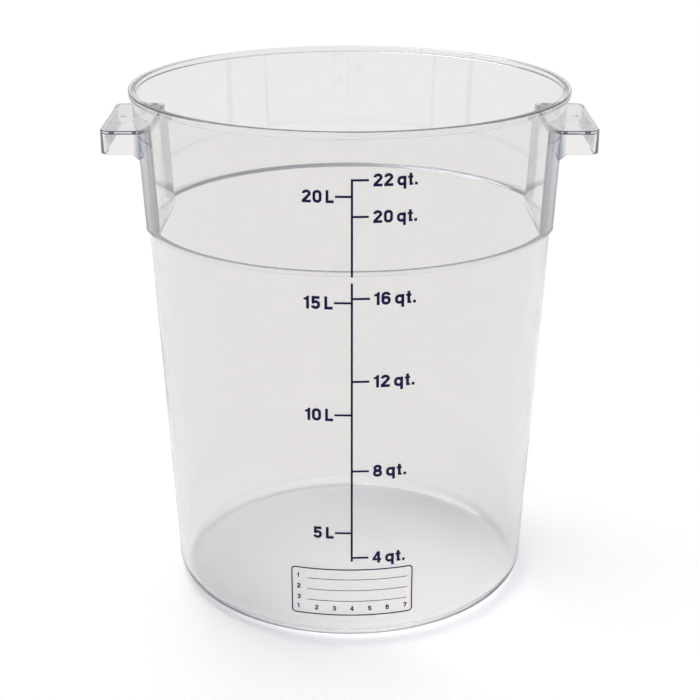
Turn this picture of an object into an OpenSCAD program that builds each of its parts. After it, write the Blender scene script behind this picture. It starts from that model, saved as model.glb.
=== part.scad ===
// Round dough proofing container: one clear moulded tub with two tray handles,
// and the ink of its volume scale and write-on label on the front of the wall.
// The tub stands on the plane z = 0, centred on the z axis. Its handles lie
// along x, and the print faces -y.

/* [Tub] */
// Height of the rim above the floor that the tub stands on
height = 381; // [340:1:420]
// Diameter of the lower wall, measured where its slope would meet the floor
base_d = 268.4; // [245:0.2:285]
// Slope of all side walls from upright, in degrees
draft = 2.8; // [1.5:0.1:3.5]
// Thickness of the walls, the shoulder and the handles
wall = 3; // [2.2:0.1:4]
// Height of the inside of the floor
floor_t = 3.6; // [2.6:0.1:6]
// Outside radius of the round heel between floor and wall
heel_r = 15; // [9:0.5:24]
// Diameter of the raised middle of the underside
foot_d = 217; // [150:1:230]
// Depth of that raised middle
foot_h = 1.2; // [0.4:0.1:1.6]

/* [Shoulder and rim] */
// Height of the shoulder's underside, where the tub steps out
shoulder_z = 283.5; // [250:0.5:300]
// How far the band above the shoulder stands out past the lower wall
shoulder_out = 4; // [3.5:0.1:7]
// How far the bead round the rim stands out past the band
bead_out = 2; // [1:0.1:4]
// Height of the bead
bead_h = 4.5; // [3:0.1:8]
// Radius on the bead's edges
bead_r = 0.9; // [0.3:0.1:0.9]

/* [Handles and finger pockets] */
// How far each handle stands out past the rim's bead
handle_reach = 16.7; // [14:0.1:24]
// Width of each handle from front to back
handle_w = 96; // [76:1:108]
// Depth of the handle's flat top below the rim
handle_drop = 24; // [16:0.5:36]
// Height of the skirt that turns down round the handle
skirt_h = 17; // [10:0.5:26]
// Radius of the handle's upright corners
corner_r = 8; // [5:0.5:12]
// Radius along the top of the handle's tip
tip_r = 4; // [2:0.5:7]
// Height of the small web between skirt and band
web_h = 5; // [2:0.5:9]
// Depth of each finger pocket behind the band, at the shoulder
pocket_depth = 13.6; // [11:0.1:18]
// Radius of the pocket's upright corners
pocket_r = 4; // [2:0.5:8]
// Diameter of the round mark on top of each handle
mark_d = 4.5; // [2:0.5:8]
// Depth of the round mark
mark_h = 0.4; // [0.2:0.1:0.8]
// Distance of the round mark from the handle's tip
mark_in = 11.5; // [8:0.5:15]

/* [Scale print] */
// Thickness of every printed film
ink = 0.2; // [0.1:0.05:0.4]
// Width of the scale's lines
line_w = 1.5; // [1:0.1:2.2]
// Distance of the scale's upright line to the right of the middle
scale_x = 1.4; // [0:0.1:4]
// Length of the ticks printed on the band
band_tick = 10.9; // [7:0.1:14]
// Length of the ticks printed on the lower wall
wall_tick = 11.9; // [7:0.1:14]
// Height of the figures printed on the band
band_figure = 8.6; // [6:0.1:10]
// Height of the figures printed on the lower wall
wall_figure = 9.2; // [6:0.1:11]
// Gap between a tick on the right and its figures
quart_gap = 2.8; // [1:0.1:5]
// Gap between a tick on the left and its figures
litre_gap = 0.8; // [0.4:0.1:2]
// Length of the scale's upright line below its lowest mark
scale_tail = 3; // [0.8:0.1:5]
// Height of the line's end below the shoulder, measured down from the shoulder
scale_break = 5.5; // [4:0.5:8]

/* [Label print] */
// Width of the label's frame
label_w = 87; // [70:1:100]
// Height of the label's frame
label_h = 38.5; // [32:0.5:40]
// Height of the frame's lower edge
label_z = 22; // [20:0.5:24]
// Distance of the label's middle to the right of the tub's middle
label_x = 1.6; // [0:0.1:4]
// Radius of the frame's corners
label_r = 3; // [1.5:0.1:5]
// Width of the frame's line
frame_w = 0.9; // [0.6:0.1:1.4]
// Space between the frame and what stands inside it
label_pad = 4; // [2:0.5:6]
// Width of the three ruled lines
rule_w = 0.4; // [0.3:0.1:0.9]
// Height of the label's figures
label_figure = 3.8; // [2.5:0.1:4.5]

/* [Hidden] */
$fn = 96;

// Marked volumes, and how far up each mark stands: on the band from the shoulder (0) to the
// rim (1), and on the lower wall from the label's top (0) to the shoulder (1)
band_quarts = [["20", 0.4256], ["22", 0.6769]];
band_litres = [["20", 0.5641]];
wall_quarts = [["4", 0.0426], ["8", 0.352], ["12", 0.657], ["16", 0.926]];
wall_litres = [["5", 0.1323], ["10", 0.5448], ["15", 0.9126]];

slope = tan(draft);
lean = 1 / cos(draft);
ledge_z = shoulder_z + wall;
band_step = shoulder_out + base_d / 2;
rim_radius = band_radius(height) + bead_out;
tip_x = rim_radius + handle_reach;
pocket_x = band_radius(shoulder_z) - pocket_depth;
handle_top = height - handle_drop;
ceiling_z = handle_top - wall;
skirt_z = handle_top - skirt_h;
pocket_w = handle_w - 2 * wall;
label_rows = 3;
label_days = 7;
label_top = label_z + label_h;
label_left = label_x - label_w / 2;

// Outside radius of the band at a height
function band_radius(z) = band_step + slope * z;
// Heights of the marks on the band and on the lower wall
function band_z(share) = shoulder_z + share * (height - shoulder_z);
function wall_z(share) = label_top + share * (shoulder_z - label_top);
// Middle of a round of radius r that touches a floor at z0 and a wall of radius r0 at z = 0
function round_x(r0, z0, r) = r0 + slope * (z0 + r) - r * lean;

// The tub: an outer cup and band, hollowed by an inner cup and band, with its two handles

// Half section of a cup with a round heel: floor at z0, top at z1, wall radius r0 at z = 0
module cup_section(r0, z0, z1, r) {
    x = round_x(r0, z0, r);
    polygon([[0, z0], [x, z0], [x, z0 + r], [x + r / lean, z0 + r - r * sin(draft)],
             [r0 + slope * z1, z1], [0, z1]]);
    translate([x, z0 + r]) circle(r);
}

// Half section of the band and the bead round its rim, filled to the axis
module band_section() {
    z = height - bead_h;
    polygon([[0, shoulder_z], [band_radius(shoulder_z), shoulder_z], [band_radius(z), z],
             [rim_radius - bead_r, z], [rim_radius, z + bead_r], [rim_radius, height - bead_r],
             [rim_radius - bead_r, height], [0, height]]);
    translate([rim_radius - bead_r, z + bead_r]) circle(bead_r);
    translate([rim_radius - bead_r, height - bead_r]) circle(bead_r);
}

module outside() {
    rotate_extrude() {
        cup_section(base_d / 2, 0, ledge_z, heel_r);
        band_section();
    }
}

module inside() {
    rotate_extrude() {
        cup_section(base_d / 2 - wall * lean, floor_t, ledge_z + 1, heel_r - wall);
        polygon([[0, ledge_z], [band_radius(ledge_z) - wall * lean, ledge_z],
                 [band_radius(height + 1) - wall * lean, height + 1], [0, height + 1]]);
    }
}

// A block with round upright corners on its ends x0 and x1, w wide along y
module rounded_block(x0, x1, w, h, r) {
    linear_extrude(h) {
        translate([x0 + r, -w / 2]) square([x1 - x0 - 2 * r, w]);
        translate([x0, -w / 2 + r]) square([x1 - x0, w - 2 * r]);
        for (x = [x0 + r, x1 - r], y = [r - w / 2, w / 2 - r]) translate([x, y]) circle(r);
    }
}

// Finger pocket under the handle at +x, made larger all round by grow.
// Its flat wall leans out like the walls of the tub.
module pocket(grow) {
    reach = tip_x - wall - 1 - slope * (ceiling_z - shoulder_z) - pocket_x;
    bottom = shoulder_z - grow;
    intersection() {
        translate([pocket_x, 0, shoulder_z]) rotate([0, draft, 0])
            translate([0, 0, -reach])
                rounded_block(-grow, reach, pocket_w + 2 * grow, height, pocket_r + grow);
        translate([0, -handle_w, bottom]) cube([2 * tip_x, 2 * handle_w, ceiling_z + grow - bottom]);
    }
}

// Solid form of the handle at +x, round at its upright corners and along its tip
module handle_block() {
    root = pocket_x + corner_r;
    intersection() {
        translate([0, 0, skirt_z]) rounded_block(pocket_x, tip_x, handle_w, skirt_h, corner_r);
        rotate([90, 0, 0]) linear_extrude(2 * handle_w, center = true) {
            translate([root, skirt_z]) square([tip_x - root - tip_r, skirt_h]);
            translate([root, skirt_z]) square([tip_x - root, skirt_h - tip_r]);
            translate([tip_x - tip_r, handle_top - tip_r]) circle(tip_r);
        }
    }
    for (y = [-handle_w / 2, handle_w / 2 - wall]) translate([0, y + wall, 0]) web();
}

// Web in the corner between the skirt's lower edge and the band
module web() {
    band_x = sqrt(pow(band_radius(skirt_z), 2) - pow(handle_w / 2, 2));
    rotate([90, 0, 0]) linear_extrude(wall)
        polygon([[band_x - 1, skirt_z + 1], [band_x + web_h, skirt_z + 1], [band_x + web_h, skirt_z],
                 [band_x - 1, skirt_z - web_h - 1]]);
}

// Hollow of the handle's tray, open below
module tray() {
    translate([0, 0, skirt_z - 1])
        rounded_block(band_radius(skirt_z) - wall / 2, tip_x - wall, pocket_w, ceiling_z - skirt_z + 1,
                      corner_r - wall);
}

module both_sides() {
    children();
    mirror([1, 0, 0]) children();
}

module tub() {
    color([0.86, 0.87, 0.88, 0.55]) difference() {
        union() {
            outside();
            both_sides() handle_block();
        }
        difference() {
            inside();
            both_sides() pocket(wall);
        }
        both_sides() {
            pocket(0);
            tray();
            translate([tip_x - mark_in, 0, handle_top - mark_h]) cylinder(h = 1, d = mark_d);
        }
        translate([0, 0, -1]) cylinder(h = 1 + foot_h, d = foot_d);
    }
}

// The print: each film is a skin on the wall's own cone, cut to the outline of what is printed

// Skin on the outside of the wall from z0 to z1, one ink film thick
module film(z0, z1, radius_at_0) {
    rotate_extrude()
        polygon([[radius_at_0 + slope * z0, z0], [radius_at_0 + slope * z0 + ink, z0],
                 [radius_at_0 + slope * z1 + ink, z1], [radius_at_0 + slope * z1, z1]]);
}

// Prints the drawing given as children, x to the right and y up, on the band or the lower wall
module print_on_band() {
    intersection() {
        film(shoulder_z, height - bead_h, band_step);
        rotate([90, 0, 0]) linear_extrude(height) children();
    }
}

module print_on_wall() {
    intersection() {
        film(heel_r, shoulder_z, base_d / 2);
        rotate([90, 0, 0]) linear_extrude(height) children();
    }
}

// Upright line of the scale between two heights
module spine(z0, z1) {
    translate([scale_x - line_w / 2, z0]) square([line_w, z1 - z0]);
}

// A tick at height z, to the right of the upright line, and one to its left
module right_tick(z, len) {
    translate([scale_x, z - line_w / 2]) square([len, line_w]);
}

module left_tick(z, len) {
    translate([scale_x - len, z - line_w / 2]) square([len, line_w]);
}

// Figures h high that start past a right tick, or that end at a left tick
module right_word(s, z, len, h) {
    translate([scale_x + len + quart_gap, z - h / 2]) word(s, h);
}

module left_word(s, z, len, h) {
    translate([scale_x - len - litre_gap - h * word_width(s), z - h / 2]) word(s, h);
}

module band_scale_line() {
    color("midnightblue") print_on_band() {
        spine(shoulder_z, band_z(band_quarts[1][1]) + line_w / 2);
        for (m = band_quarts) right_tick(band_z(m[1]), band_tick);
        for (m = band_litres) left_tick(band_z(m[1]), band_tick);
    }
}

module wall_scale_line() {
    color("midnightblue") print_on_wall() {
        spine(wall_z(wall_quarts[0][1]) - scale_tail, shoulder_z - scale_break);
        for (m = wall_quarts) right_tick(wall_z(m[1]), wall_tick);
        for (m = wall_litres) left_tick(wall_z(m[1]), wall_tick);
    }
}

module band_quart_figures() {
    color("midnightblue") print_on_band()
        for (m = band_quarts) right_word(str(m[0], " qt."), band_z(m[1]), band_tick, band_figure);
}

module wall_quart_figures() {
    color("midnightblue") print_on_wall()
        for (m = wall_quarts) right_word(str(m[0], " qt."), wall_z(m[1]), wall_tick, wall_figure);
}

module band_litre_figures() {
    color("midnightblue") print_on_band()
        for (m = band_litres) left_word(str(m[0], " L"), band_z(m[1]), band_tick, band_figure);
}

module wall_litre_figures() {
    color("midnightblue") print_on_wall()
        for (m = wall_litres) left_word(str(m[0], " L"), wall_z(m[1]), wall_tick, wall_figure);
}

// The label

module rounded_square(w, h, r) {
    translate([r, 0]) square([w - 2 * r, h]);
    translate([0, r]) square([w, h - 2 * r]);
    for (x = [r, w - r], y = [r, h - r]) translate([x, y]) circle(r);
}

module label_frame() {
    color("midnightblue") print_on_wall() translate([label_left, label_z]) difference() {
        rounded_square(label_w, label_h, label_r);
        translate([frame_w, frame_w])
            rounded_square(label_w - 2 * frame_w, label_h - 2 * frame_w, label_r - frame_w);
    }
}

// Height of a ruled line, counted from the top of the label
function rule_z(i) = label_top - (i + 1) * (label_h - label_figure - 2 * label_pad) / label_rows;

module label_rules() {
    indent = label_pad + 2 * label_figure;
    color("midnightblue") print_on_wall() for (i = [0:label_rows - 1])
        translate([label_left + indent, rule_z(i)]) square([label_w - indent - label_pad, rule_w]);
}

module label_row_figures() {
    color("midnightblue") print_on_wall() for (i = [0:label_rows - 1])
        translate([label_left + label_pad, rule_z(i)]) word(str(i + 1), label_figure);
}

module label_day_figures() {
    pitch = (label_w - 2 * label_pad - digit_w * label_figure) / (label_days - 1);
    color("midnightblue") print_on_wall() for (i = [0:label_days - 1])
        translate([label_left + label_pad + i * pitch, label_z + label_pad]) word(str(i + 1), label_figure);
}

// The figures

// All figures are drawn 1 high on the base line with these widths
stroke = 0.215;
digit_w = 0.68;
glyph_gap = 0.12;

function glyph_width(c) = c == "1" ? 0.4 : c == " " ? 0.06 : c == "." ? stroke : c == "t" ? 0.4
                        : c == "L" ? 0.6 : digit_w;
// Place of the i-th figure of a word, and the width of the whole word
function glyph_x(s, i) = i == 0 ? 0 : glyph_x(s, i - 1) + glyph_width(s[i - 1]) + glyph_gap;
function word_width(s) = glyph_x(s, len(s) - 1) + glyph_width(s[len(s) - 1]);

module word(s, h) {
    scale(h) for (i = [0:len(s) - 1]) translate([glyph_x(s, i), 0]) glyph(s[i]);
}

module bar(x, y, w, h) {
    translate([x, y]) square([w, h]);
}

// Oval with all but round ends, and a ring of that form one stroke wide
module oval(w, h) {
    rounded_square(w, h, 0.47 * min(w, h));
}

module loop(w, h) {
    difference() {
        oval(w, h);
        translate([stroke, stroke]) oval(w - 2 * stroke, h - 2 * stroke);
    }
}

module glyph(c) {
    w = digit_w;
    s = stroke;
    if (c == "0") loop(w, 1);
    if (c == "1") polygon([[0.4 - s, 0], [0.4, 0], [0.4, 1], [0.25, 1], [0.17, 0.87], [0, 0.82],
                           [0, 0.68], [0.4 - s, 0.68]]);
    if (c == "2") {
        bar(0, 0, w, s);
        polygon([[0, s - 0.02], [0.3, s - 0.02], [w, 0.62], [w - s, 0.7]]);
        intersection() {
            translate([0, 1 - w]) loop(w, w);
            polygon([[0, 0.72], [0, 1], [w, 1], [w, 0.62], [w / 2, 0.66]]);
        }
    }
    if (c == "3") intersection() {
        union() {
            loop(w, w - 0.08);
            translate([0, 1 - w + 0.08]) loop(w - 0.02, w - 0.09);
        }
        polygon([[0, 0], [0, 0.24], [0.26, 0.3], [0.26, 0.7], [0, 0.76], [0, 1], [w, 1], [w, 0]]);
    }
    if (c == "4") {
        bar(w - s - 0.1, 0, s, 1);
        bar(0, 0.22, w, 0.18);
        polygon([[0, 0.38], [0.21, 0.38], [0.4, 0.72], [0.4, 1], [0.36, 1]]);
    }
    if (c == "5") {
        bar(0.06, 1 - s, w - 0.1, s);
        bar(0.06, 0.44, s, 0.5);
        intersection() {
            loop(w, w);
            polygon([[0, 0], [0, 0.24], [w / 2, 0.33], [0.06, 0.44], [0.06, 1], [w, 1], [w, 0]]);
        }
    }
    if (c == "6") {
        loop(w, w);
        intersection() {
            loop(w, 1);
            polygon([[0, 0.3], [0, 1], [w, 1], [w, 0.74], [w / 2, 0.7], [w / 2, 0.3]]);
        }
    }
    if (c == "7") {
        bar(0, 1 - s, w, s);
        polygon([[0.14, 0], [0.36, 0], [w, 0.82], [w - 0.24, 0.82]]);
    }
    if (c == "8") {
        loop(w, w - 0.08);
        translate([0.03, 0.43]) loop(w - 0.06, 0.57);
    }
    if (c == "L") {
        bar(0, 0, s, 1);
        bar(0, 0, 0.6, s);
    }
    if (c == "q") {
        loop(w, 0.74);
        bar(w - s, -0.26, s, 1);
    }
    if (c == "t") {
        bar(0.1, 0, s, 0.94);
        bar(0, 0.56, 0.4, 0.17);
        bar(0.1, 0, 0.3, 0.17);
    }
    if (c == ".") bar(0, 0, s, s);
}

tub();
band_scale_line();
wall_scale_line();
band_quart_figures();
wall_quart_figures();
band_litre_figures();
wall_litre_figures();
label_frame();
label_rules();
label_row_figures();
label_day_figures();
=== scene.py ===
# %% [markdown]
# # A clear tub for proofing dough
#
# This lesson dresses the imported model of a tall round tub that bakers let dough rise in. The real tub is
# one moulding of clear polycarbonate with a printed scale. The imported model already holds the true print,
# so the work here is the clear wall: its rounded edges, the way it bends light, and a pale studio in which
# clear plastic can be seen at all.

# %% Load the frame
import math

import bmesh
import bpy
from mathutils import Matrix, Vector


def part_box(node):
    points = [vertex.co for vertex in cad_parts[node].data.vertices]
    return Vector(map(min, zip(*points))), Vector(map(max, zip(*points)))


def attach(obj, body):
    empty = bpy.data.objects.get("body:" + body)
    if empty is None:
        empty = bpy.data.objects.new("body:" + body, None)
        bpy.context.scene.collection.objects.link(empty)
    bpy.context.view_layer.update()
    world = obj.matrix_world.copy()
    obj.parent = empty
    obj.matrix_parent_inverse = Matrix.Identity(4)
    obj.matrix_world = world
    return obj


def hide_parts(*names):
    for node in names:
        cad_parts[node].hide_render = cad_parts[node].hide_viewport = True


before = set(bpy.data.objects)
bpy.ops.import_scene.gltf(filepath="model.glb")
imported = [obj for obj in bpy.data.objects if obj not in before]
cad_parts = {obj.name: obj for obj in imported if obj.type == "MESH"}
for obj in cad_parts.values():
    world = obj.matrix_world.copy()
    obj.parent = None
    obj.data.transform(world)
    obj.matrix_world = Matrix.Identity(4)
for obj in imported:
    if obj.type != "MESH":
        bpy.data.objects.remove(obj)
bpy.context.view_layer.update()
tub_low, tub_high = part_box("tub")
print("The packed tub reaches from", list(tub_low), "to", list(tub_high))

# %% [markdown]
# Every size below is a real one, in metres. The height and the reach of the handles come from the frame.
# The others are the tub's own: its draft, wall, shoulder, bead and finger pockets.

# %% Sizes of the tub
MM = 0.001
TURN_STEPS = 320
ROUND_STEPS = 10
EDGE_STEPS = 3

height = tub_high[2]
tip_x = tub_high[0]
draft = math.radians(2.8)
slope = math.tan(draft)
wall = 3 * MM
wall_across = wall / math.cos(draft)
base_radius = 134.2 * MM
floor_z = 3.6 * MM
heel_radius = 15 * MM
foot_radius = 108.5 * MM
foot_depth = 1.2 * MM
shoulder_z = 283.5 * MM
shoulder_out = 4 * MM
bead_out = 2 * MM
bead_height = 4.5 * MM
bead_radius = 0.9 * MM
soft_edge = 0.8 * MM
handle_top = height - 24 * MM
handle_half = 48 * MM
skirt_z = handle_top - 17 * MM
ceiling_z = handle_top - wall
pocket_depth = 13.6 * MM
pocket_corner = 4 * MM
handle_corner = 8 * MM
handle_edge = 0.6 * MM
mark_radius = 2.25 * MM
mark_depth = 0.4 * MM
mark_from_tip = 11.5 * MM


def wall_radius(z):
    """Outside radius of the lower wall at a height."""
    return base_radius + slope * z


def band_radius(z):
    """Outside radius of the band above the shoulder at a height."""
    return wall_radius(z) + shoulder_out


pocket_x = band_radius(shoulder_z) - pocket_depth
rim_radius = band_radius(height) + bead_out
print("Rim radius", round(rim_radius / MM, 2), "mm")
print("Pocket wall at x =", round(pocket_x / MM, 2), "mm")

# %% [markdown]
# Blender's operators act on whatever is selected, so each step starts with an empty selection. Edges and
# vertices are then picked in code, by where they are.


# %% Helpers for selecting
def deselect():
    if bpy.context.object is not None and bpy.context.object.mode != "OBJECT":
        bpy.ops.object.mode_set(mode="OBJECT")
    bpy.ops.object.select_all(action="DESELECT")


def make_active(piece):
    deselect()
    piece.select_set(True)
    bpy.context.view_layer.objects.active = piece


def pick(piece, kind, test):
    """Enter edit mode with only the vertices or edges selected whose points all pass the test."""
    make_active(piece)
    bpy.ops.object.mode_set(mode="EDIT")
    bpy.ops.mesh.select_mode(type=kind)
    bpy.ops.mesh.select_all(action="DESELECT")
    bpy.ops.object.mode_set(mode="OBJECT")
    points = [vertex.co for vertex in piece.data.vertices]
    if kind == "VERT":
        for vertex in piece.data.vertices:
            vertex.select = test(vertex.co)
    else:
        for edge in piece.data.edges:
            edge.select = test(points[edge.vertices[0]], points[edge.vertices[1]])
    bpy.ops.object.mode_set(mode="EDIT")


# %% [markdown]
# The wall of the real tub is a section turned round one axis, with a small radius wherever the steel of the
# mould was rounded. Those small radii matter more than anything else here, because each one shows as a
# dark or a bright line in clear plastic. The section is drawn as corners with a radius each, extruded
# point by point from a single vertex, and spun. Inside the foot ring the underside is a shallow dish, which
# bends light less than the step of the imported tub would.


# %% Draw an outline with rounded corners
def rounded(corners):
    """Points of an outline through the corners (x, z, radius), with an arc at each radius."""
    outline = []
    for i, (x, z, radius) in enumerate(corners):
        corner = Vector((x, z))
        if radius == 0:
            outline.append(corner)
            continue
        back = (Vector(corners[i - 1][:2]) - corner).normalized()
        ahead = (Vector(corners[i + 1][:2]) - corner).normalized()
        half = back.angle(ahead) / 2
        centre = corner + (back + ahead).normalized() * (radius / math.sin(half))
        first = corner + back * (radius / math.tan(half)) - centre
        last = corner + ahead * (radius / math.tan(half)) - centre
        swing = first.angle(last)
        steps = 20 if radius > 5 * MM else 6
        for k in range(steps + 1):
            spoke = first * math.sin((1 - k / steps) * swing) + last * math.sin(k / steps * swing)
            outline.append(centre + spoke / math.sin(swing))
    return outline


def turned(name, corners):
    """A solid of revolution round the z axis, from an outline that starts and ends on the axis."""
    outline = rounded(corners)
    deselect()
    bpy.ops.mesh.primitive_plane_add(size=MM)
    piece = bpy.context.object
    piece.name = name
    bpy.ops.object.mode_set(mode="EDIT")
    bpy.ops.mesh.select_mode(type="VERT")
    bpy.ops.mesh.select_all(action="SELECT")
    bpy.ops.mesh.merge(type="CENTER")
    bpy.ops.transform.translate(value=(outline[0].x, 0, outline[0].y))
    for here, there in zip(outline, outline[1:]):
        step = (there.x - here.x, 0, there.y - here.y)
        bpy.ops.mesh.extrude_region_move(TRANSFORM_OT_translate={"value": step})
    bpy.ops.mesh.select_all(action="SELECT")
    bpy.ops.mesh.spin(steps=TURN_STEPS, angle=2 * math.pi, center=(0, 0, 0), axis=(0, 0, 1))
    bpy.ops.mesh.select_all(action="SELECT")
    bpy.ops.mesh.remove_doubles(threshold=0.002 * MM)
    bpy.ops.mesh.normals_make_consistent(inside=False)
    bpy.ops.object.mode_set(mode="OBJECT")
    print(name, "has", len(piece.data.polygons), "faces from", len(outline), "points")
    return piece


# %% The turned wall
bead_z = height - bead_height
ledge_z = shoulder_z + wall
tub = turned(
    "tub_wall",
    [
        (0, foot_depth, 0),
        (foot_radius, 0, soft_edge / 2),
        (base_radius, 0, heel_radius),
        (wall_radius(shoulder_z), shoulder_z, soft_edge),
        (band_radius(shoulder_z), shoulder_z, 1.4 * MM),
        (band_radius(bead_z), bead_z, soft_edge / 2),
        (rim_radius, bead_z, bead_radius),
        (rim_radius, height, bead_radius),
        (band_radius(height) - wall_across, height, bead_radius),
        (band_radius(ledge_z) - wall_across, ledge_z, soft_edge),
        (wall_radius(ledge_z) - wall_across, ledge_z, 1.4 * MM),
        (base_radius - wall_across + slope * floor_z, floor_z, heel_radius - wall),
        (0, floor_z, 0),
    ],
)

# %% [markdown]
# Under each handle the band is pushed in to make a pocket for four fingers. Its flat wall leans like the
# rest of the tub, because the mould has to come away upwards. A block is leaned by moving its top, its
# corners are bevelled, and booleans put it together with the wall: first a fatter block is joined on, cut
# to the middle of the wall so that no two faces coincide, and then the pocket itself is cut out.


# %% Helpers for blocks and booleans
def block(name, low, high):
    deselect()
    low, high = Vector(low), Vector(high)
    bpy.ops.mesh.primitive_cube_add(size=1, location=(low + high) / 2, scale=high - low)
    piece = bpy.context.object
    piece.name = name
    bpy.ops.object.transform_apply(location=True, rotation=True, scale=True)
    return piece


def bevel(piece, radius, steps, test):
    pick(piece, "EDGE", test)
    bpy.ops.mesh.bevel(offset=radius, segments=steps, affect="EDGES")
    bpy.ops.object.mode_set(mode="OBJECT")


def combine(piece, tool, operation):
    """Join the tool to the piece, cut it away or keep what both share, and use the tool up."""
    change = piece.modifiers.new(operation.title(), "BOOLEAN")
    change.operation = operation
    change.solver = "EXACT"
    change.object = tool
    make_active(piece)
    bpy.ops.object.modifier_apply(modifier=change.name)
    bpy.data.objects.remove(tool)


def upright(a, b):
    return abs(a.z - b.z) > 5 * MM


def pocket_block(name, grow, outer_x, radius):
    """A leaning block the form of the right finger pocket, larger all round by grow."""
    low_z, high_z = shoulder_z - grow, ceiling_z + grow
    lean_low, lean_high = slope * -grow, slope * (high_z - shoulder_z)
    half = handle_half - wall + grow
    piece = block(name, (pocket_x - grow, -half, low_z), (outer_x, half, high_z))
    pick(piece, "VERT", lambda co: co.z > high_z - MM)
    bpy.ops.transform.translate(value=(lean_high, 0, 0))
    bpy.ops.object.mode_set(mode="OBJECT")
    pick(piece, "VERT", lambda co: co.z < low_z + MM)
    bpy.ops.transform.translate(value=(lean_low, 0, 0))
    bpy.ops.object.mode_set(mode="OBJECT")
    bevel(piece, radius, ROUND_STEPS, upright)
    return piece


def mirrored(piece):
    """Turn the piece into the matching piece on the left."""
    make_active(piece)
    bpy.ops.object.mode_set(mode="EDIT")
    bpy.ops.mesh.select_all(action="SELECT")
    bpy.ops.transform.mirror(constraint_axis=(True, False, False), center_override=(0, 0, 0))
    bpy.ops.mesh.normals_make_consistent(inside=False)
    bpy.ops.object.mode_set(mode="OBJECT")
    return piece


# %% [markdown]
# The handle is an upturned tray: a flat top with a skirt turned down round it. It starts as a block inside
# the wall, its upright corners and its top edge are bevelled, and the pocket's cut hollows it from below.


# %% The handle's outer form
def handle_block(name):
    root_x = 146 * MM
    half = handle_half + 0.02 * MM
    top_edge, lower_edge = handle_top - 0.1 * MM, skirt_z + 0.1 * MM

    def stands_out(a, b):
        return max(a.x, b.x) > root_x + MM

    piece = block(name, (root_x, -half, skirt_z), (tip_x, half, handle_top))
    bevel(piece, handle_corner, ROUND_STEPS, lambda a, b: upright(a, b) and a.x > root_x + MM)
    bevel(piece, handle_edge, EDGE_STEPS, lambda a, b: min(a.z, b.z) > top_edge and stands_out(a, b))
    bevel(piece, handle_edge, EDGE_STEPS, lambda a, b: max(a.z, b.z) < lower_edge and stands_out(a, b))
    return piece


def web(name, side):
    """The small wedge in the corner between the skirt and the band, at the front or the back."""
    band_x = math.sqrt(band_radius(skirt_z) ** 2 - handle_half**2)
    drop = 5 * MM
    y, half_web = side * (handle_half - wall / 2), wall / 2 - 0.05 * MM
    inside, outside = band_x - 1.2 * MM, band_x + drop
    low = (inside, y - half_web, skirt_z - drop)
    piece = block(name, low, (outside, y + half_web, skirt_z + MM))
    pick(piece, "VERT", lambda co: co.x > outside - MM and co.z < skirt_z - MM)
    bpy.ops.transform.translate(value=(0, 0, drop - 0.2 * MM))
    bpy.ops.object.mode_set(mode="OBJECT")
    return piece


# %% Cut the filler for the pockets to the middle of the wall
def middle_of_wall():
    half = wall_across / 2
    start_z = shoulder_z - 40 * MM
    return turned(
        "middle_of_wall",
        [
            (0, start_z, 0),
            (wall_radius(start_z) - half, start_z, 0),
            (wall_radius(shoulder_z + half) - half, shoulder_z + half, 0),
            (band_radius(shoulder_z + half) - half, shoulder_z + half, 0),
            (band_radius(height) - half, height, 0),
            (0, height, 0),
        ],
    )


def both(make):
    return [make(), mirrored(make())]


past_wall = 172 * MM
fillers = both(lambda: pocket_block("pocket_filler", wall, past_wall, pocket_corner + wall))
for filler in fillers:
    combine(filler, middle_of_wall(), "INTERSECT")
    combine(tub, filler, "UNION")
for handle in both(lambda: handle_block("handle_form")):
    combine(tub, handle, "UNION")
for side in (-1, 1):
    for corner in both(lambda: web("corner_web", side)):
        combine(tub, corner, "UNION")

# %% Hollow the pockets and the handles
hollow_end = tip_x - wall - slope * (ceiling_z - shoulder_z)


def hollow():
    """The space that the fingers reach into, up to the inside of the handle."""
    piece = pocket_block("pocket_hollow", 0, hollow_end, pocket_corner)
    pick(piece, "VERT", lambda co: co.z < shoulder_z + MM)
    bpy.ops.transform.translate(value=(0, 0, -0.05 * MM))
    bpy.ops.object.mode_set(mode="OBJECT")
    return piece


def gate_mark():
    """The shallow round mark on top of the handle, left by the mould's ejector pin."""
    deselect()
    length = 2 * MM
    place = (tip_x - mark_from_tip, 0, handle_top + length / 2 - mark_depth)
    bpy.ops.mesh.primitive_cylinder_add(vertices=48, radius=mark_radius, depth=length, location=place)
    bpy.ops.object.transform_apply(location=True, rotation=True, scale=True)
    return bpy.context.object


for space in both(hollow):
    combine(tub, space, "DIFFERENCE")
for mark in both(gate_mark):
    combine(tub, mark, "DIFFERENCE")

# %% [markdown]
# Clear plastic shows every fault of a mesh, so the wall is measured before it is shaded: a closed solid has
# no loose edges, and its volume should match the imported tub's. Smooth shading then stops at the real
# edges, and weighted normals keep the long flat faces flat right up to their rounded corners.

# %% Measure and smooth the tub
make_active(tub)
bpy.ops.object.mode_set(mode="EDIT")
bpy.ops.mesh.select_all(action="SELECT")
bpy.ops.mesh.remove_doubles(threshold=0.004 * MM)
bpy.ops.object.mode_set(mode="OBJECT")
measured = bmesh.new()
measured.from_mesh(tub.data)
open_edges = sum(not edge.is_manifold for edge in measured.edges)
print("Tub volume", round(measured.calc_volume() * 1e6, 1), "cm3, open edges", open_edges)
print("Tub faces", len(measured.faces))
measured.free()
bpy.ops.object.shade_smooth_by_angle(angle=math.radians(28))
even = tub.modifiers.new("Even normals", "WEIGHTED_NORMAL")
even.keep_sharp = True
even.weight = 80
bpy.ops.object.modifier_apply(modifier=even.name)
tub.name = "tub_moulding"

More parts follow.
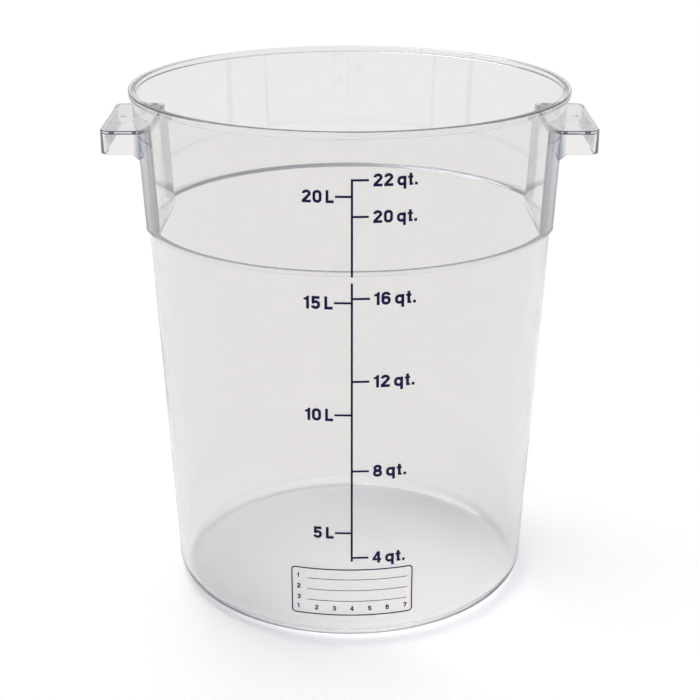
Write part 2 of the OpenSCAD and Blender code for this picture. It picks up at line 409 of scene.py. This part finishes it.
# %% [markdown]
# Polycarbonate bends light more than window glass does: its index is 1.585. A wall of it takes a little of
# each ray that crosses it, and a thick piece takes more, so there is a pale tint at the surface and
# absorption inside. Light that is trapped in the wall leaks out of it evenly, and a very weak glow stands in
# for that, as the edges would turn black without it. A mould never leaves a perfect surface, so wide,
# shallow waves and faint haze are added by noise.
#
# The upright corners of the finger pockets are seen edge-on, and there the base colour carries painted
# shade:
# a dark slate blue that stands in for the dark which thick plastic shows edge-on. A mask made from the
# object's own coordinates finds them, and the painted shade deepens towards the shoulder.
#
# Lamps shine through the wall by a Transparent shader for shadow rays. A wall that faces the lamp lets
# nearly all of the light pass, and a glancing one less. So does the heel, whose round bends the light away.


# %% Small helpers for the material's arithmetic
def reading(nodes, links, value, start, end):
    """0 where the value is at start, 1 where it is at end, and between them in proportion."""
    scale = nodes.new("ShaderNodeMapRange")
    scale.inputs["From Min"].default_value = start
    scale.inputs["From Max"].default_value = end
    links.new(value, scale.inputs["Value"])
    return scale.outputs["Result"]


def combined(nodes, links, operation, first, second):
    worked_out = nodes.new("ShaderNodeMath")
    worked_out.operation = operation
    links.new(first, worked_out.inputs[0])
    links.new(second, worked_out.inputs[1])
    return worked_out.outputs["Value"]


def absolute(nodes, links, value):
    size_of = nodes.new("ShaderNodeMath")
    size_of.operation = "ABSOLUTE"
    links.new(value, size_of.inputs[0])
    return size_of.outputs["Value"]


# %% Where the pockets' corners are
def pocket_corners(nodes, links, split):
    """1 in the upright corners of the finger pockets and 0 elsewhere."""
    along_x = absolute(nodes, links, split.outputs["X"])
    along_y = absolute(nodes, links, split.outputs["Y"])
    along_z = split.outputs["Z"]
    parts = [
        reading(nodes, links, along_y, handle_half - 9 * MM, handle_half - 6 * MM),
        reading(nodes, links, along_y, handle_half + 2 * MM, handle_half + MM),
        reading(nodes, links, along_x, pocket_x - 5 * MM, pocket_x - 4 * MM),
        reading(nodes, links, along_x, 152 * MM, 147 * MM),
        reading(nodes, links, along_z, shoulder_z - 2 * MM, shoulder_z),
        reading(nodes, links, along_z, handle_top, ceiling_z - MM),
    ]
    mask = parts[0]
    for part in parts[1:]:
        mask = combined(nodes, links, "MULTIPLY", mask, part)
    return mask


# %% Clear polycarbonate
def clear_plastic():
    material = bpy.data.materials.new("clear polycarbonate")
    material.use_nodes = True
    nodes, links = material.node_tree.nodes, material.node_tree.links
    shader = nodes["Principled BSDF"]
    output = nodes["Material Output"]
    shader.inputs["IOR"].default_value = 1.585
    shader.inputs["Transmission Weight"].default_value = 1
    shader.inputs["Emission Color"].default_value = (0.88, 0.9, 1, 1)
    shader.inputs["Emission Strength"].default_value = 0.022
    material.cycles.emission_sampling = "NONE"
    place = nodes.new("ShaderNodeTexCoord")
    split = nodes.new("ShaderNodeSeparateXYZ")
    links.new(place.outputs["Object"], split.inputs["Vector"])

    # Painted shade: the ramp below darkens the pockets' upright corners, most at the shoulder, and the mix
    # lays it over the wall's own pale tint.
    climb = reading(nodes, links, split.outputs["Z"], shoulder_z, handle_top)
    painted_shade_ramp = nodes.new("ShaderNodeValToRGB")
    painted_shade_ramp.color_ramp.elements[0].color = (0.002, 0.003, 0.02, 1)
    painted_shade_ramp.color_ramp.elements[1].color = (0.26, 0.3, 0.4, 1)
    links.new(climb, painted_shade_ramp.inputs["Fac"])
    tint_and_painted_shade = nodes.new("ShaderNodeMix")
    tint_and_painted_shade.data_type = "RGBA"
    links.new(pocket_corners(nodes, links, split), tint_and_painted_shade.inputs["Factor"])
    tint_and_painted_shade.inputs["A"].default_value = (0.875, 0.861, 0.845, 1)
    links.new(painted_shade_ramp.outputs["Color"], tint_and_painted_shade.inputs["B"])
    links.new(tint_and_painted_shade.outputs["Result"], shader.inputs["Base Color"])

    haze = nodes.new("ShaderNodeTexNoise")
    haze.inputs["Scale"].default_value = 22
    haze.inputs["Detail"].default_value = 3
    haze_range = nodes.new("ShaderNodeMapRange")
    haze_range.inputs["From Min"].default_value = 0.35
    haze_range.inputs["From Max"].default_value = 0.8
    haze_range.inputs["To Max"].default_value = 0.05
    links.new(place.outputs["Object"], haze.inputs["Vector"])
    links.new(haze.outputs["Fac"], haze_range.inputs["Value"])
    links.new(haze_range.outputs["Result"], shader.inputs["Roughness"])

    waves = nodes.new("ShaderNodeTexNoise")
    waves.inputs["Scale"].default_value = 16
    waves.inputs["Detail"].default_value = 1
    bump = nodes.new("ShaderNodeBump")
    bump.inputs["Strength"].default_value = 1
    bump.inputs["Distance"].default_value = 0.25 * MM
    links.new(place.outputs["Object"], waves.inputs["Vector"])
    links.new(waves.outputs["Fac"], bump.inputs["Height"])
    links.new(bump.outputs["Normal"], shader.inputs["Normal"])

    path = nodes.new("ShaderNodeLightPath")
    for_lamps = nodes.new("ShaderNodeBsdfTransparent")
    facing = nodes.new("ShaderNodeLayerWeight")
    passed = nodes.new("ShaderNodeValToRGB")
    passed.color_ramp.elements[0].position = 0.45
    passed.color_ramp.elements[0].color = (1, 1, 1, 1)
    passed.color_ramp.elements[1].position = 1
    passed.color_ramp.elements[1].color = (0.3, 0.33, 0.39, 1)
    radius = nodes.new("ShaderNodeVectorMath")
    radius.operation = "LENGTH"
    links.new(place.outputs["Object"], radius.inputs[0])
    round_the_foot = reading(nodes, links, radius.outputs["Value"], 118 * MM, 130 * MM)
    near_ground = reading(nodes, links, split.outputs["Z"], 24 * MM, 8 * MM)
    heel = combined(nodes, links, "MULTIPLY", round_the_foot, near_ground)
    shade = combined(nodes, links, "MAXIMUM", facing.outputs["Facing"], heel)
    links.new(shade, passed.inputs["Fac"])
    links.new(passed.outputs["Color"], for_lamps.inputs["Color"])
    either = nodes.new("ShaderNodeMixShader")
    links.new(path.outputs["Is Shadow Ray"], either.inputs["Fac"])
    links.new(shader.outputs["BSDF"], either.inputs[1])
    links.new(for_lamps.outputs["BSDF"], either.inputs[2])
    links.new(either.outputs["Shader"], output.inputs["Surface"])

    inside = nodes.new("ShaderNodeVolumeAbsorption")
    inside.inputs["Color"].default_value = (0.62, 0.66, 0.78, 1)
    inside.inputs["Density"].default_value = 12
    links.new(inside.outputs["Volume"], output.inputs["Volume"])
    return material


tub.data.materials.clear()
tub.data.materials.append(clear_plastic())
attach(tub, "root")
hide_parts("tub")

# %% [markdown]
# The scale and the label are screen-printed in navy ink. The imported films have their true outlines, so
# they stay and only get a finish: nearly matt, a little uneven where the ink lies thinner, and with the
# fine tooth that a screen's mesh leaves.


# %% Navy ink
def navy_ink():
    material = bpy.data.materials.new("navy screen ink")
    material.use_nodes = True
    nodes, links = material.node_tree.nodes, material.node_tree.links
    shader = nodes["Principled BSDF"]
    place = nodes.new("ShaderNodeTexCoord")

    cover = nodes.new("ShaderNodeTexNoise")
    cover.inputs["Scale"].default_value = 600
    cover.inputs["Detail"].default_value = 4
    tones = nodes.new("ShaderNodeValToRGB")
    tones.color_ramp.elements[0].position = 0.3
    tones.color_ramp.elements[0].color = (0.004, 0.005, 0.05, 1)
    tones.color_ramp.elements[1].position = 0.75
    tones.color_ramp.elements[1].color = (0.009, 0.011, 0.085, 1)
    links.new(place.outputs["Object"], cover.inputs["Vector"])
    links.new(cover.outputs["Fac"], tones.inputs["Fac"])
    links.new(tones.outputs["Color"], shader.inputs["Base Color"])

    tooth = nodes.new("ShaderNodeTexNoise")
    tooth.inputs["Scale"].default_value = 2500
    bump = nodes.new("ShaderNodeBump")
    bump.inputs["Strength"].default_value = 0.3
    bump.inputs["Distance"].default_value = 0.02 * MM
    links.new(place.outputs["Object"], tooth.inputs["Vector"])
    links.new(tooth.outputs["Fac"], bump.inputs["Height"])
    links.new(bump.outputs["Normal"], shader.inputs["Normal"])
    shader.inputs["Roughness"].default_value = 0.5
    shader.inputs["Specular IOR Level"].default_value = 0.15
    return material


ink = navy_ink()
for name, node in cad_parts.items():
    if name != "tub":
        for material_slot in node.material_slots:
            material_slot.material = ink
print("Inked", len(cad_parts) - 1, "printed films")

# %% [markdown]
# Clear plastic has no colour of its own, and shows only what surrounds it. So the studio is white below,
# behind and overhead, as a sweep of paper under a wide lamp is, with one grey band part of the way up,
# which draws the edges. Rays that light the floor get an even level from all round.


# %% Floor
def paper():
    material = bpy.data.materials.new("white paper sweep")
    material.use_nodes = True
    nodes, links = material.node_tree.nodes, material.node_tree.links
    shader = nodes["Principled BSDF"]
    shader.inputs["Base Color"].default_value = (0.8, 0.8, 0.8, 1)
    shader.inputs["Roughness"].default_value = 1
    shader.inputs["Specular IOR Level"].default_value = 0
    glow = nodes.new("ShaderNodeEmission")
    links.new(seen_rays(nodes, links, direct=0.24, by_glass=0.16), glow.inputs["Strength"])
    together = nodes.new("ShaderNodeAddShader")
    links.new(shader.outputs["BSDF"], together.inputs[0])
    links.new(glow.outputs["Emission"], together.inputs[1])
    links.new(together.outputs["Shader"], nodes["Material Output"].inputs["Surface"])
    return material


def seen_rays(nodes, links, direct, by_glass):
    """A value that is direct for camera rays, by_glass for rays from gloss and glass, and 0 for the rest."""
    path = nodes.new("ShaderNodeLightPath")
    glassy = nodes.new("ShaderNodeMath")
    glassy.operation = "MAXIMUM"
    links.new(path.outputs["Is Glossy Ray"], glassy.inputs[0])
    links.new(path.outputs["Is Transmission Ray"], glassy.inputs[1])
    weaker = nodes.new("ShaderNodeMath")
    weaker.operation = "MULTIPLY"
    weaker.inputs[1].default_value = by_glass
    links.new(glassy.outputs["Value"], weaker.inputs[0])
    summed = nodes.new("ShaderNodeMath")
    summed.operation = "MULTIPLY_ADD"
    summed.inputs[1].default_value = direct
    links.new(path.outputs["Is Camera Ray"], summed.inputs[0])
    links.new(weaker.outputs["Value"], summed.inputs[2])
    return summed.outputs["Value"]


below_tub = 0.05 * MM
deselect()
bpy.ops.mesh.primitive_plane_add(size=60, location=(0, 0, -below_tub))
floor = bpy.context.object
floor.name = "paper_floor"
floor.data.materials.append(paper())


# %% World
def studio(lit_level, backdrop, dark_band, overhead):
    world = bpy.data.worlds.new("studio")
    world.use_nodes = True
    bpy.context.scene.world = world
    nodes, links = world.node_tree.nodes, world.node_tree.links
    background = nodes["Background"]
    place = nodes.new("ShaderNodeTexCoord")
    split = nodes.new("ShaderNodeSeparateXYZ")
    sky = nodes.new("ShaderNodeValToRGB")
    sky.color_ramp.elements[0].position = 0.2
    sky.color_ramp.elements[0].color = (backdrop, backdrop, backdrop, 1)
    sky.color_ramp.elements[1].position = 0.75
    sky.color_ramp.elements[1].color = (overhead, overhead, overhead, 1)
    for height_share in (0.3, 0.5):
        dark = sky.color_ramp.elements.new(height_share)
        dark.color = (dark_band, dark_band, dark_band * 1.1, 1)
    links.new(place.outputs["Generated"], split.inputs["Vector"])
    links.new(split.outputs["Z"], sky.inputs["Fac"])

    path = nodes.new("ShaderNodeLightPath")
    for_camera = nodes.new("ShaderNodeMix")
    for_camera.data_type = "RGBA"
    links.new(path.outputs["Is Camera Ray"], for_camera.inputs["Factor"])
    links.new(sky.outputs["Color"], for_camera.inputs["A"])
    for_camera.inputs["B"].default_value = (1, 1, 1, 1)
    lit = nodes.new("ShaderNodeMix")
    lit.data_type = "RGBA"
    links.new(seen_rays(nodes, links, direct=1, by_glass=1), lit.inputs["Factor"])
    lit.inputs["A"].default_value = (lit_level, lit_level, lit_level, 1)
    links.new(for_camera.outputs["Result"], lit.inputs["B"])
    links.new(lit.outputs["Result"], background.inputs["Color"])


studio(lit_level=0.5, backdrop=0.85, dark_band=0.22, overhead=1)

# %% Key light
deselect()
bpy.ops.object.light_add(type="SUN", rotation=(math.radians(-24), math.radians(-20), 0))
key = bpy.context.object
key.name = "soft_key"
key.data.energy = 1.7
key.data.angle = math.radians(36)

# %% [markdown]
# The camera stands where the photographer's stood: 1.14 m in front of the tub's middle and 0.6 m above
# the table, looking down at 20.7 degrees through a long lens.

# %% Camera
FRAME_PIXELS = 700
focal_pixels = 1584.07
deselect()
bpy.ops.object.camera_add(
    location=(0, -1136.5 * MM, 603.85 * MM), rotation=(math.pi / 2 - math.radians(20.663), 0, 0)
)
camera = bpy.context.object
camera.data.sensor_width = 36
camera.data.lens = focal_pixels / FRAME_PIXELS * camera.data.sensor_width
camera.data.shift_x = 0.25 / FRAME_PIXELS
camera.data.shift_y = 0.5 / FRAME_PIXELS
bpy.context.scene.camera = camera
bpy.context.scene.view_settings.view_transform = "Standard"
